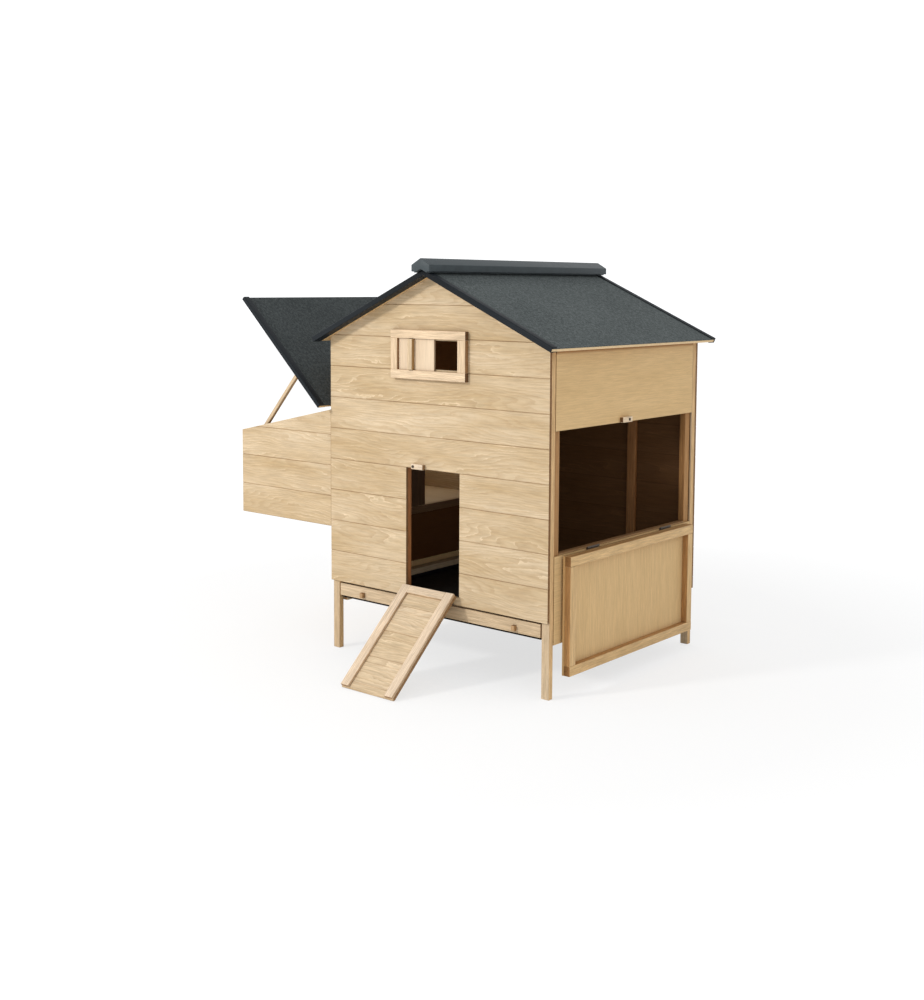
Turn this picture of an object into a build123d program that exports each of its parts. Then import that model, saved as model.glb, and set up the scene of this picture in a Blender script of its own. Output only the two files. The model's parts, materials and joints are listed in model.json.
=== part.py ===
from build123d import *
import os
from math import acos, atan2, cos, degrees, hypot, radians, sin, tan

os.makedirs("parts", exist_ok=True)

# ---------------------------------------------------------------- driving dimensions, mm
# House frame while building: X to the right along the front from the left end of the boards,
# Y to the back from the front boards' outer face, Z up from the ground.
WIDTH = 828.0            # front wall, end to end of the boards
DEPTH = 776.0            # outer face of front boards to outer face of back boards
BOARD = 95.0             # cover width of one tongue-and-groove board
BOARD_T = 9.0            # board thickness
POST_X = 26.0            # leg and corner post section
POST_Y = 18.0
FRONT_FOOT = 213.0       # underside of the front boards above ground
BACK_FOOT = 177.0        # underside of the back boards
PLY_T = 6.0              # side wall plywood
SIDE_FOOT = 149.0        # underside of the lower side panels

ROOF_PITCH = 24.3        # degrees
APEX = 1153.3            # where the two roof decks' undersides meet
EAVE_OUT = 31.0          # eave beyond the side wall
GABLE_OUT = 44.0         # roof trim beyond the end boards
DECK_T = 9.0
FELT_T = 2.0
TRIM_T = 3.5             # trim standing above the felt
TRIM_SKIN = 3.0
TRIM_FLANGE = 22.0       # how far a trim laps onto the felt
TRIM_RETURN = 32.0       # how far it turns in below the deck
TRIM_UNDER = 1.5
RIDGE_TOP = 1200.0
RIDGE_OUT = 55.0

POP_X = (312.0, 516.0)   # hens' door in the front wall
POP_Z = (236.0, FRONT_FOOT + 4 * BOARD)
SIDE_Z = (397.0, 735.0)  # large door in the right side: sill top and head
SIDE_GAP = 1.5            # panels stop this far short of the posts
SIDE_JAMB = 27.5
JAMB_X = 20.0
LOWER_TOP = 393.0        # top edge of the lower side panel

NEST_OUT = 415.0         # nest box beyond the left wall
NEST_FOOT = 380.0
NEST_HIGH = 743.0        # top edge at the house wall
NEST_LOW = 650.0         # top edge at the outer wall
NEST_Y = (3.0, DEPTH - 3.0)
NEST_HEAD = 640.0        # head of the openings into the nest box
LEDGE_TOP = 399.0
MID_POST = (340.0, 407.0)

LID_OPEN = 43.5          # degrees above level, as propped
LID_PIN = (-4.0, 752.0)
LID_DECK_T = 6.0
LID_REACH = 476.0        # hinge pin to free edge
LID_GAP = 6.0            # hinge pin to the lid's wall edge
LID_LOW = -8.0           # underside of the lid below the pin, square to the lid

SLOPE = tan(radians(ROOF_PITCH))
MID_X = WIDTH / 2
MID_Y = DEPTH / 2
NODES = {}


# ---------------------------------------------------------------- small helpers
def bar(x0, x1, y0, y1, z0, z1):
    """A square-edged length of wood, plate or block between two corners."""
    return Pos((x0 + x1) / 2, (y0 + y1) / 2, (z0 + z1) / 2) * Box(x1 - x0, y1 - y0, z1 - z0)


def batten(x0, x1, y0, y1, z0, z1, ease=1.2):
    """A planed batten with its long edges eased."""
    body = bar(x0, x1, y0, y1, z0, z1)
    sizes = {Axis.X: x1 - x0, Axis.Y: y1 - y0, Axis.Z: z1 - z0}
    run = max(sizes, key=sizes.get)
    return chamfer(body.edges().filter_by(run), ease)


def section_along_y(points, y0, y1):
    """A closed XZ outline carried from y0 to y1."""
    face = Plane.XZ.offset(-y0) * make_face(Polyline(*points, close=True))
    return extrude(face, amount=-(y1 - y0))


def section_along_x(points, x0, x1):
    """A closed YZ outline carried from x0 to x1."""
    face = Plane.YZ.offset(x0) * make_face(Polyline(*points, close=True))
    return extrude(face, amount=x1 - x0)


def roof_under(x):
    """Height of the roof decks' underside above the ground at x."""
    return APEX - SLOPE * abs(x - MID_X)


def node(name, *shapes):
    """Files one or more separate solids under a node name."""
    solids = [s for shape in shapes for s in shape.solids()]
    NODES[name] = solids[0] if len(solids) == 1 else Compound(children=solids)


# ---------------------------------------------------------------- tongue-and-groove boards
BOARD_EASE = 1.6
TONGUE = 5.0
TONGUE_T = 3.0
FIT = 0.2


def board(length, z0):
    """One board, outer face on Y = 0 looking to -Y, running from X = 0, tongue up."""
    inner = (BOARD_T - TONGUE_T) / 2
    outer = inner + TONGUE_T
    top = z0 + BOARD
    outline = [
        (0, z0 + BOARD_EASE), (0, top - BOARD_EASE), (BOARD_EASE, top), (inner, top),
        (inner, top + TONGUE), (outer, top + TONGUE), (outer, top), (BOARD_T, top),
        (BOARD_T, z0), (outer + FIT, z0), (outer + FIT, z0 + TONGUE + FIT),
        (inner - FIT, z0 + TONGUE + FIT), (inner - FIT, z0), (BOARD_EASE, z0),
    ]
    return section_along_x(outline, 0, length)


def wall_of_boards(length, foot, top, count, below=0.0):
    """Boards laid up from foot - below, kept within the outline foot to top."""
    return [board(length, foot - below + BOARD * i) for i in range(count)]


gable = section_along_y(
    [(0, 0), (WIDTH, 0), (WIDTH, roof_under(0)), (MID_X, APEX), (0, roof_under(0))], -1, DEPTH + 1
)

# front wall: ten boards, with the hens' door and the shutter's hole cut out
HOLE_X = (396.0, 512.0)
HOLE_Z = (884.0, 967.0)
front_cuts = bar(*POP_X, -5, BOARD_T + 5, *POP_Z) + bar(*HOLE_X, -5, BOARD_T + 5, *HOLE_Z)
front = []
for i in range(10):
    front.append((board(WIDTH, FRONT_FOOT + BOARD * i) & gable) - front_cuts)
node("front_boards", *front)

# back wall: the same boards, with a ripped strip at the foot
back_gable = gable & bar(-5, WIDTH + 5, -5, DEPTH + 5, BACK_FOOT, APEX + 5)
back = []
for i in range(-1, 10):
    laid = board(WIDTH, FRONT_FOOT + BOARD * i)
    turned = Pos(WIDTH, DEPTH, 0) * Rot(0, 0, 180) * laid
    back.append(turned & back_gable)
node("back_boards", *back)

# ---------------------------------------------------------------- posts and battens of the house
post_top = roof_under(0) - 0.5
post_ys = {"front": (BOARD_T, BOARD_T + POST_Y), "back": (DEPTH - BOARD_T - POST_Y, DEPTH - BOARD_T)}
post_xs = {"left": (0, POST_X), "right": (WIDTH - POST_X, WIDTH)}
for end, ys in post_ys.items():
    for side, xs in post_xs.items():
        node(f"post_{end}_{side}", batten(*xs, *ys, 0, post_top))

panel_y = (BOARD_T + POST_Y + SIDE_GAP, DEPTH - BOARD_T - POST_Y - SIDE_GAP)
opening_y = (panel_y[0] + SIDE_JAMB, panel_y[1] - SIDE_JAMB)
jamb_right = (WIDTH - PLY_T - JAMB_X, WIDTH - PLY_T)
jamb_left = (PLY_T, PLY_T + JAMB_X)
side_ply = (WIDTH - PLY_T, WIDTH)
left_ply = (0, PLY_T)

node("side_panel_upper", bar(*side_ply, *panel_y, SIDE_Z[1], post_top))
node("side_panel_lower", bar(*side_ply, *panel_y, SIDE_FOOT, LOWER_TOP))
node(
    "side_jambs",
    batten(*jamb_right, panel_y[0], opening_y[0], SIDE_FOOT, post_top),
    batten(*jamb_right, opening_y[1], panel_y[1], SIDE_FOOT, post_top),
)
node("side_sill", batten(*jamb_right, *opening_y, SIDE_Z[0] - 25, SIDE_Z[0]))

node("left_panel_upper", bar(*left_ply, *panel_y, NEST_HEAD, post_top))
node("left_panel_lower", bar(*left_ply, *panel_y, SIDE_FOOT, LEDGE_TOP - 4))
node(
    "left_jambs",
    batten(*jamb_left, panel_y[0], opening_y[0], SIDE_FOOT, post_top),
    batten(*jamb_left, opening_y[1], panel_y[1], SIDE_FOOT, post_top),
)
node("nest_ledge", batten(*jamb_left, *opening_y, LEDGE_TOP - 24, LEDGE_TOP))
node(
    "left_mid_post",
    batten(*jamb_left, *MID_POST, LEDGE_TOP, post_top),
)

JAMB_T = 15.0
POP_JAMB = 30.0
jamb_y = (BOARD_T, BOARD_T + JAMB_T)
node(
    "pop_jambs",
    batten(POP_X[0] - POP_JAMB, POP_X[0], *jamb_y, FRONT_FOOT, 860),
    batten(POP_X[1], POP_X[1] + POP_JAMB, *jamb_y, FRONT_FOOT, 860),
)
back_y = (DEPTH - BOARD_T - 12, DEPTH - BOARD_T)
BACK_BATTEN_X = 190.0
node(
    "back_battens",
    batten(MID_X + BACK_BATTEN_X - 16, MID_X + BACK_BATTEN_X + 16, *back_y, BACK_FOOT, 1050),
    batten(MID_X - BACK_BATTEN_X - 16, MID_X - BACK_BATTEN_X + 16, *back_y, BACK_FOOT, 1050),
)

# ---------------------------------------------------------------- roof
deck_y = (-GABLE_OUT + TRIM_SKIN, DEPTH + GABLE_OUT - TRIM_SKIN)
cover = DECK_T + FELT_T


def roof_layer(side, low, high, reach):
    """One slope's layer between two depths square to the slope; side is 1 right, -1 left."""
    c, s = cos(radians(ROOF_PITCH)), sin(radians(ROOF_PITCH))
    run = (MID_X + EAVE_OUT) / c + reach

    def corner(depth):
        return (MID_X + side * (run * c + depth * s), APEX - run * s + depth * c)

    outline = [(MID_X, APEX + low / c), corner(low), corner(high), (MID_X, APEX + high / c)]
    return section_along_y(outline, *deck_y)


for side, name in ((-1, "left"), (1, "right")):
    node(f"roof_deck_{name}", roof_layer(side, 0, DECK_T, 0))
    node(f"roof_felt_{name}", roof_layer(side, DECK_T, cover, 3))


def edge_trim(front_y, inward, low, felt_top, start, length, thick=TRIM_T):
    """An angle trim along +X with its skin on front_y; inward is 1 at the front, -1 at the back."""
    skin = front_y + inward * TRIM_SKIN
    lap = front_y + inward * TRIM_FLANGE
    top = felt_top + thick
    turned_in = front_y + inward * TRIM_RETURN
    under = low - TRIM_UNDER
    outline = [
        (front_y, under + 1), (front_y, top - 2), (front_y + inward * 2, top), (lap, top),
        (lap, felt_top), (skin, felt_top), (skin, low), (turned_in, low), (turned_in, under),
        (front_y + inward, under),
    ]
    return section_along_x(outline, start, start + length)


trims = []
trim_run = (MID_X + EAVE_OUT) / cos(radians(ROOF_PITCH)) + 2
for front_y, inward in ((-GABLE_OUT, 1), (DEPTH + GABLE_OUT, -1)):
    for side in (1, -1):
        laid = edge_trim(front_y, inward, 0, cover, -20, trim_run + 20)
        if side == -1:
            laid = mirror(laid, Plane.YZ)
        slope = laid.rotate(Axis.Y, side * ROOF_PITCH).moved(Pos(MID_X, 0, APEX))
        far = sorted((MID_X, MID_X + side * 900))
        trims.append(slope & bar(*far, -100, DEPTH + 100, 0, 1400))
node("roof_trims", *trims)

RIDGE_HALF = 34.0
RIDGE_SHOULDER = 1181.0
RIDGE_EDGE = 1162.0
RIDGE_FOOT = 24.0
seat = APEX + (cover + TRIM_T) / cos(radians(ROOF_PITCH)) + 0.2
ridge = [
    (MID_X, RIDGE_TOP), (MID_X + RIDGE_HALF, RIDGE_SHOULDER), (MID_X + RIDGE_HALF, RIDGE_EDGE),
    (MID_X + RIDGE_FOOT, RIDGE_EDGE), (MID_X + RIDGE_FOOT, seat - SLOPE * RIDGE_FOOT), (MID_X, seat),
    (MID_X - RIDGE_FOOT, seat - SLOPE * RIDGE_FOOT), (MID_X - RIDGE_FOOT, RIDGE_EDGE),
    (MID_X - RIDGE_HALF, RIDGE_EDGE), (MID_X - RIDGE_HALF, RIDGE_SHOULDER),
]
node("ridge_cap", section_along_y(ridge, -RIDGE_OUT, DEPTH + RIDGE_OUT))

# ---------------------------------------------------------------- nest box
nest_slope = (NEST_HIGH - NEST_LOW) / NEST_OUT
nest_prism = section_along_y(
    [(-NEST_OUT, NEST_FOOT), (0, NEST_FOOT), (0, NEST_HIGH), (-NEST_OUT, NEST_LOW)], -5, DEPTH + 5
)
end_boards = [board(NEST_OUT, NEST_FOOT + BOARD * i) for i in range(4)]
node("nest_front_boards", *[(Pos(-NEST_OUT, NEST_Y[0], 0) * b) & nest_prism for b in end_boards])
node(
    "nest_back_boards",
    *[(Pos(0, NEST_Y[1], 0) * Rot(0, 0, 180) * b) & nest_prism for b in end_boards],
)
nest_in = (NEST_Y[0] + BOARD_T, NEST_Y[1] - BOARD_T)
outer = []
for i in range(3):
    laid = board(nest_in[1] - nest_in[0], NEST_FOOT + BOARD * i)
    outer.append((Pos(-NEST_OUT, nest_in[1], 0) * Rot(0, 0, -90) * laid) & nest_prism)
node("nest_outer_boards", *outer)
floor_x = (-NEST_OUT + BOARD_T, 0)
node("nest_floor", bar(*floor_x, *nest_in, NEST_FOOT, NEST_FOOT + BOARD_T))
NEST_FLOOR_TOP = NEST_FOOT + BOARD_T


def nest_height(x):
    """Height of the nest box's sloping top edge at x, which is negative."""
    return NEST_HIGH + nest_slope * x


divider = [
    (floor_x[0], NEST_FLOOR_TOP), (0, NEST_FLOOR_TOP), (0, NEST_HIGH - 3),
    (floor_x[0], nest_height(floor_x[0]) - 3),
]
node("nest_divider", section_along_y(divider, MID_Y - 4, MID_Y + 4))
CLEAT = 18.0
cleats = []
for y0 in (nest_in[0], nest_in[1] - CLEAT):
    for x0 in (floor_x[0], -CLEAT):
        top = nest_height(x0) - 2
        cleats.append(batten(x0, x0 + CLEAT, y0, y0 + CLEAT, NEST_FLOOR_TOP, top))
node("nest_cleats", *cleats)

# ---------------------------------------------------------------- butt hinges
HINGE_LONG = 58.0
KNUCKLE_R = 3.0
PIN_R = 1.5
LEAF = 1.5
LEAF_DEEP = 25.0
WALL_OFF = 3.5           # pin axis to the face that the leaves lie on


def knuckles(spans, bored):
    """Knuckles about the X axis; bored ones turn on the pin, the others hold it."""
    out = None
    for a, b in spans:
        part = Pos((a + b) / 2, 0, 0) * Rot(0, 90, 0) * Cylinder(KNUCKLE_R, b - a)
        out = part if out is None else out + part
    pin_long = HINGE_LONG if not bored else HINGE_LONG + 2
    pin = Rot(0, 90, 0) * Cylinder(PIN_R + (0.1 if bored else 0), pin_long)
    return out - pin if bored else out + pin


def flat_leaf(spans, bored, up, off=WALL_OFF):
    """A leaf on the face at Y = off, below the pin or above it, with its knuckles."""
    sign = 1 if up else -1
    turning = knuckles(spans, bored)
    z0, z1 = sorted((sign * (KNUCKLE_R + 0.3), sign * LEAF_DEEP))
    plate = bar(-HINGE_LONG / 2, HINGE_LONG / 2, off - LEAF, off, z0, z1)
    for a, b in spans:
        w0, w1 = sorted((sign * 1.2, sign * (KNUCKLE_R + 0.4)))
        plate += bar(a, b, off - LEAF, off, w0, w1)
    for x in (-HINGE_LONG / 3, HINGE_LONG / 3):
        hole = Pos(x, off, sign * 16) * Rot(90, 0, 0) * Cylinder(2, 8)
        plate -= hole
    return plate + turning


OUTER_SPANS = [(-HINGE_LONG / 2, -10), (10, HINGE_LONG / 2)]
INNER_SPANS = [(-9.7, 9.7)]
base_leaf = flat_leaf(OUTER_SPANS, False, up=False)
swing_leaf = flat_leaf(INNER_SPANS, True, up=True)

# ---------------------------------------------------------------- hens' door, which is also the ramp
RAMP_X = (POP_X[0] + 4, POP_X[1] - 4)
RAMP_T = 17.0
RAMP_BOARD_T = 9.0
RAMP_STILE = 30.0
RAMP_Z = (POP_Z[0] + 2, POP_Z[1] - 3)
RAMP_PIN = (-WALL_OFF, POP_Z[0] + 1)
pin_to_tip = hypot(WALL_OFF, RAMP_Z[1] - RAMP_PIN[1])
RAMP_DROP = degrees(atan2(WALL_OFF, RAMP_Z[1] - RAMP_PIN[1]) + acos(-RAMP_PIN[1] / pin_to_tip))
ramp_axis = Axis((0, *RAMP_PIN), (1, 0, 0))


def ramp_down(shape):
    """Takes a piece of the closed hens' door down onto the ground."""
    return shape.rotate(ramp_axis, RAMP_DROP)


ramp_board_h = (RAMP_Z[1] - RAMP_Z[0]) / 4
ramp_boards = []
for i in range(4):
    z0 = RAMP_Z[0] + ramp_board_h * i
    laid = bar(*RAMP_X, 0, RAMP_BOARD_T, z0, z0 + ramp_board_h)
    ramp_boards.append(chamfer(laid.edges().filter_by(Axis.X), 1.4))
ramp_boards[3] += bar(*RAMP_X, 3, 6, RAMP_Z[1] - 1, RAMP_Z[1] + 2.5)
node("ramp_boards", *[ramp_down(b) for b in ramp_boards])
stile_y = (RAMP_BOARD_T, RAMP_T)
node(
    "ramp_stiles",
    ramp_down(batten(RAMP_X[0], RAMP_X[0] + RAMP_STILE, *stile_y, *RAMP_Z)),
    ramp_down(batten(RAMP_X[1] - RAMP_STILE, RAMP_X[1], *stile_y, *RAMP_Z)),
)
rail_x = (RAMP_X[0] + RAMP_STILE, RAMP_X[1] - RAMP_STILE)
node("ramp_rail", ramp_down(batten(*rail_x, *stile_y, RAMP_Z[0], RAMP_Z[0] + 26)))
ramp_hinge_x = (RAMP_X[0] + 45, RAMP_X[1] - 45)
node("ramp_hinge_bases", *[Pos(x, *RAMP_PIN) * base_leaf for x in ramp_hinge_x])
node("ramp_hinge_leaves", *[ramp_down(Pos(x, *RAMP_PIN) * swing_leaf) for x in ramp_hinge_x])

# ---------------------------------------------------------------- large side door, hung down
DOOR_Y = (60.0, 712.0)
DOOR_PIN = (WIDTH + WALL_OFF, 396.0)
DOOR_T = 26.0
DOOR_PLY = 6.0
DOOR_RAIL = 28.0
DOOR_STILE = 28.0
DOOR_Z = (2 * DOOR_PIN[1] - 392.0, 732.0)
door_axis = Axis((DOOR_PIN[0], 0, DOOR_PIN[1]), (0, 1, 0))


def door_down(shape):
    """Takes a piece of the closed side door over and down to where it hangs."""
    return shape.rotate(door_axis, 180)


door_skin = (WIDTH - DOOR_PLY, WIDTH)
door_frame = (WIDTH - DOOR_T, WIDTH - DOOR_PLY)
node("door_panel", door_down(bar(*door_skin, *DOOR_Y, *DOOR_Z)))
node(
    "door_rails",
    door_down(batten(*door_frame, *DOOR_Y, DOOR_Z[0], DOOR_Z[0] + DOOR_RAIL)),
    door_down(batten(*door_frame, *DOOR_Y, DOOR_Z[1] - DOOR_RAIL, DOOR_Z[1])),
)
stile_z = (DOOR_Z[0] + DOOR_RAIL, DOOR_Z[1] - DOOR_RAIL)
node(
    "door_stiles",
    door_down(batten(*door_frame, DOOR_Y[0], DOOR_Y[0] + DOOR_STILE, *stile_z)),
    door_down(batten(*door_frame, DOOR_Y[1] - DOOR_STILE, DOOR_Y[1], *stile_z)),
)
turn_to_side = Rot(0, 0, 90)
door_hinge_y = (209.0, 596.0)
door_places = [Pos(DOOR_PIN[0], y, DOOR_PIN[1]) * turn_to_side for y in door_hinge_y]
node("door_hinge_bases", *[p * base_leaf for p in door_places])
node("door_hinge_leaves", *[door_down(p * swing_leaf) for p in door_places])

# ---------------------------------------------------------------- nest lid, propped open
lid_axis = Axis((LID_PIN[0], 0, LID_PIN[1]), (0, 1, 0))
lid_top = LID_LOW + LID_DECK_T


def lid_up(shape):
    """Takes a piece of the lid from level to where it is propped."""
    return shape.rotate(lid_axis, LID_OPEN)


def lid_bar(s0, s1, y0, y1, n0, n1):
    """A block on the level lid: s runs out from the pin, n up from it."""
    px, pz = LID_PIN
    return bar(px - s1, px - s0, y0, y1, pz + n0, pz + n1)


lid_y = (-GABLE_OUT + TRIM_SKIN + 1, DEPTH + GABLE_OUT - TRIM_SKIN - 1)
LID_FELT_T = 1.5
node("lid_deck", lid_up(lid_bar(LID_GAP, LID_REACH, *lid_y, LID_LOW, lid_top)))
node("lid_felt", lid_up(lid_bar(LID_GAP, LID_REACH + 2, *lid_y, lid_top, lid_top + LID_FELT_T)))
lid_trims = []
for front_y, inward in ((-GABLE_OUT + 1, 1), (DEPTH + GABLE_OUT - 1, -1)):
    start = LID_PIN[0] - LID_REACH - 3
    laid = edge_trim(front_y, inward, LID_LOW, lid_top + LID_FELT_T, start, LID_REACH + 3 - LID_GAP)
    lid_trims.append(lid_up(laid.moved(Pos(0, 0, LID_PIN[1]))))
node("lid_trims", *lid_trims)

LID_OFF = -LID_PIN[0]
lid_hinge_y = (150.0, DEPTH - 150.0)
lid_base = flat_leaf(OUTER_SPANS, False, up=False, off=LID_OFF)
lid_swing = knuckles(INNER_SPANS, True)
lid_web = bar(-9.7, 9.7, 1.7, 3.2, LID_LOW - LEAF, 0)
lid_plate = bar(-HINGE_LONG / 2, HINGE_LONG / 2, 1.7, 28, LID_LOW - LEAF, LID_LOW)
bore = Rot(0, 90, 0) * Cylinder(PIN_R + 0.1, HINGE_LONG)
lid_swing = lid_swing + (lid_web - bore) + lid_plate
lid_places = [Pos(LID_PIN[0], y, LID_PIN[1]) for y in lid_hinge_y]
node("lid_hinge_bases", *[p * Rot(0, 0, -90) * lid_base for p in lid_places])
node("lid_hinge_leaves", *[lid_up(p * Rot(0, 0, 90) * lid_swing) for p in lid_places])

# The prop turns on a screw in a block under the lid, and its foot stands inside the nest box's
# front wall. It swings clear inside the nest box when the lid comes down.
PROP = 12.0
PROP_S = 182.8           # pin to pivot, along the lid
PROP_DROP = 11.0         # pivot below the lid's underside
PROP_LONG = 270.0        # pivot to foot
PROP_LEAN = 2.5          # degrees off square to the lid
PROP_Y = nest_in[0] + 3.2
PROP_AT = (LID_PIN[0] - PROP_S, LID_PIN[1] + LID_LOW - PROP_DROP)
prop_axis = Axis((PROP_AT[0], 0, PROP_AT[1]), (0, 1, 0))
stick_z = (PROP_AT[1] - PROP_LONG, PROP_AT[1] + 8)
stick = batten(PROP_AT[0] - PROP / 2, PROP_AT[0] + PROP / 2, PROP_Y, PROP_Y + PROP, *stick_z)
stick -= Pos(PROP_AT[0], PROP_Y, PROP_AT[1]) * Rot(90, 0, 0) * Cylinder(2.1, 60)
node("prop_stick", lid_up(stick.rotate(prop_axis, -PROP_LEAN)))
block_y = (PROP_Y + PROP + 0.6, PROP_Y + PROP + 18)
block = bar(PROP_AT[0] - 12, PROP_AT[0] + 12, *block_y, PROP_AT[1] - 11, PROP_AT[1] + PROP_DROP)
node("prop_block", lid_up(block))
screw_long = PROP + 1.2
shank = Rot(90, 0, 0) * Cylinder(2.0, screw_long)
head = Pos(0, -screw_long / 2 - 0.9, 0) * Rot(90, 0, 0) * Cylinder(4.0, 1.8)
screw_y = block_y[0] - screw_long / 2
node("prop_screw", lid_up(Pos(PROP_AT[0], screw_y, PROP_AT[1]) * (shank + head)))

# ---------------------------------------------------------------- sliding shutter and its frame
FRAME_X = (263.0, 546.0)
FRAME_T = 15.0
FRAME_Z = (854.0, 996.0)
FRAME_OPEN_Z = (880.0, 971.0)
FRAME_OPEN_X = (289.0, 517.0)
GROOVE = 5.0
GROOVE_T = 8.5
top_rail = batten(*FRAME_X, -FRAME_T, 0, FRAME_OPEN_Z[1], FRAME_Z[1])
top_rail -= bar(*FRAME_OPEN_X, -GROOVE_T, 1, FRAME_OPEN_Z[1] - 1, FRAME_OPEN_Z[1] + GROOVE)
low_rail = batten(*FRAME_X, -FRAME_T, 0, FRAME_Z[0], FRAME_OPEN_Z[0])
low_rail -= bar(*FRAME_OPEN_X, -GROOVE_T, 1, FRAME_OPEN_Z[0] - GROOVE, FRAME_OPEN_Z[0] + 1)
node("window_rails", top_rail, low_rail)
node(
    "window_stiles",
    batten(FRAME_X[0], FRAME_OPEN_X[0], -FRAME_T, 0, *FRAME_OPEN_Z),
    batten(FRAME_OPEN_X[1], FRAME_X[1], -FRAME_T, 0, *FRAME_OPEN_Z),
)
SHUTTER_X = (290.0, 425.0)
SHUTTER_Y = (-7.5, -1.5)
HANDLE_X = (333.0, 351.0)
shutter_z = (FRAME_OPEN_Z[0] - GROOVE + 1, FRAME_OPEN_Z[1] + GROOVE - 1)
node("window_shutter", bar(*SHUTTER_X, *SHUTTER_Y, *shutter_z))
handle_z = (FRAME_OPEN_Z[0] + 1, FRAME_OPEN_Z[1] - 1)
node("shutter_handle", batten(*HANDLE_X, SHUTTER_Y[0] - 13, SHUTTER_Y[0], *handle_z))

# ---------------------------------------------------------------- dropping tray and its runners
TRAY_X = (30.0, WIDTH - 30.0)
PAN_Z = (163.0, 175.0)
PAN_T = 1.0
PAN_BACK = 745.0
FRONT_T = 12.0
front_y = (BOARD_T, BOARD_T + FRONT_T)
runners = []
for xs in ((PLY_T, 40.0), (WIDTH - 40.0, WIDTH - PLY_T)):
    runners.append(bar(*xs, *panel_y, SIDE_FOOT, PAN_Z[0] - 1))
    jamb = bar(*xs, *panel_y, PAN_Z[1] + 1.5, PAN_Z[1] + 20)
    runners.append(jamb)
jamb_cut = [
    bar(xs[0] - 1, xs[1] + 0.2, y0 - 1, y1 + 0.2, 100, 250)
    for xs in (jamb_left, (jamb_right[0] - 0.2, jamb_right[1] + 1))
    for y0, y1 in ((panel_y[0], opening_y[0]), (opening_y[1] - 0.2, panel_y[1] + 1))
]
for cut in jamb_cut:
    runners = [r - cut for r in runners]
node("tray_runners", *runners)
pan = bar(*TRAY_X, front_y[0] + 3, PAN_BACK, *PAN_Z)
pan -= bar(TRAY_X[0] + PAN_T, TRAY_X[1] - PAN_T, front_y[1] + PAN_T, PAN_BACK - PAN_T, PAN_Z[0] + PAN_T, 200)
pan -= bar(TRAY_X[0] - 1, TRAY_X[1] + 1, 0, front_y[1], PAN_Z[0] + PAN_T, 200)
node("tray_pan", pan)
node("tray_front", batten(TRAY_X[0], TRAY_X[1], *front_y, PAN_Z[0] + 5, 206))
KNOB = 12.0
knobs = [
    chamfer(bar(x - KNOB / 2, x + KNOB / 2, front_y[0] - KNOB, front_y[0], 175, 190).edges(), 1)
    for x in (129.0, 711.0)
]
node("tray_knobs", *knobs)

# ---------------------------------------------------------------- perch
PERCH_X = 694.0
PERCH = 30.0
PERCH_Z = 285.0
brackets = []
for ys in ((BOARD_T, 27.0), (DEPTH - 27.0, DEPTH - BOARD_T)):
    block = bar(PERCH_X - 30, PERCH_X + 30, *ys, PERCH_Z - 22, PERCH_Z + 15)
    brackets.append(block - bar(PERCH_X - 15.6, PERCH_X + 15.6, *ys, PERCH_Z, PERCH_Z + 40))
node("perch_brackets", *brackets)
perch = bar(PERCH_X - PERCH / 2, PERCH_X + PERCH / 2, 12, DEPTH - 12, PERCH_Z, PERCH_Z + PERCH)
node("perch", fillet(perch.edges().filter_by(Axis.Y), 6))

# ---------------------------------------------------------------- turn buttons and pivot screws
BUTTON_T = 12.0
BUTTON_H = 16.0
SCREW_R = 2.0
HEAD_R = 4.0
POP_BUTTON = (342.0, 386.0)
POP_BUTTON_AT = (350.0, 600.0)
SIDE_BUTTON = (340.0, 389.0)
SIDE_BUTTON_AT = (372.0, 743.0)


def turn_button(a, b, pivot):
    """A block from a to b along X, face out to -Y, turning on a screw at X = pivot."""
    block = bar(a, b, -BUTTON_T - 1, -1, -BUTTON_H / 2, BUTTON_H / 2)
    block = chamfer(block.edges(), 1.2)
    return block - Pos(pivot, 0, 0) * Rot(90, 0, 0) * Cylinder(SCREW_R + 0.1, 60)


def pivot_screw(long):
    """A round-headed screw out of the face Y = 0; long is from that face to under the head."""
    shank = Pos(0, -long / 2, 0) * Rot(90, 0, 0) * Cylinder(SCREW_R, long)
    head = Pos(0, -long - 1, 0) * Rot(90, 0, 0) * Cylinder(HEAD_R, 2)
    return shank + head


node("pop_button", Pos(0, 0, POP_BUTTON_AT[1]) * turn_button(*POP_BUTTON, POP_BUTTON_AT[0]))
side_face = Pos(WIDTH, 0, SIDE_BUTTON_AT[1]) * Rot(0, 0, 90)
node("side_button", side_face * turn_button(*SIDE_BUTTON, SIDE_BUTTON_AT[0]))
screw = pivot_screw(BUTTON_T + 1.2)
node(
    "pivot_screws",
    Pos(POP_BUTTON_AT[0], 0, POP_BUTTON_AT[1]) * screw,
    side_face * Pos(SIDE_BUTTON_AT[0], 0, 0) * screw,
)

# ---------------------------------------------------------------- origin and export
# The origin is on the ground, in the middle of the ground area that the whole object covers.
whole = Compound(children=[s for shape in NODES.values() for s in shape.solids()])
box = whole.bounding_box()
to_origin = Pos(-(box.min.X + box.max.X) / 2, -(box.min.Y + box.max.Y) / 2, 0)
for name, shape in NODES.items():
    export_step(to_origin * shape, f"parts/{name}.step")
print("nodes", len(NODES))
print("shift", to_origin.position)
print("size", box.size)
print("ramp drop", RAMP_DROP)
print("ramp pin", to_origin.position + Vector(0, *RAMP_PIN))
print("door pin", to_origin.position + Vector(DOOR_PIN[0], 0, DOOR_PIN[1]))
print("lid pin", to_origin.position + Vector(LID_PIN[0], 0, LID_PIN[1]))
prop_now = Vector(PROP_AT[0] - LID_PIN[0], 0, PROP_AT[1] - LID_PIN[1]).rotate(Axis.Y, LID_OPEN)
print("prop pin", to_origin.position + Vector(LID_PIN[0], 0, LID_PIN[1]) + prop_now)
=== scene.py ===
import bmesh
import bpy
import json
import math
import random
from mathutils import Matrix, Vector

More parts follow.
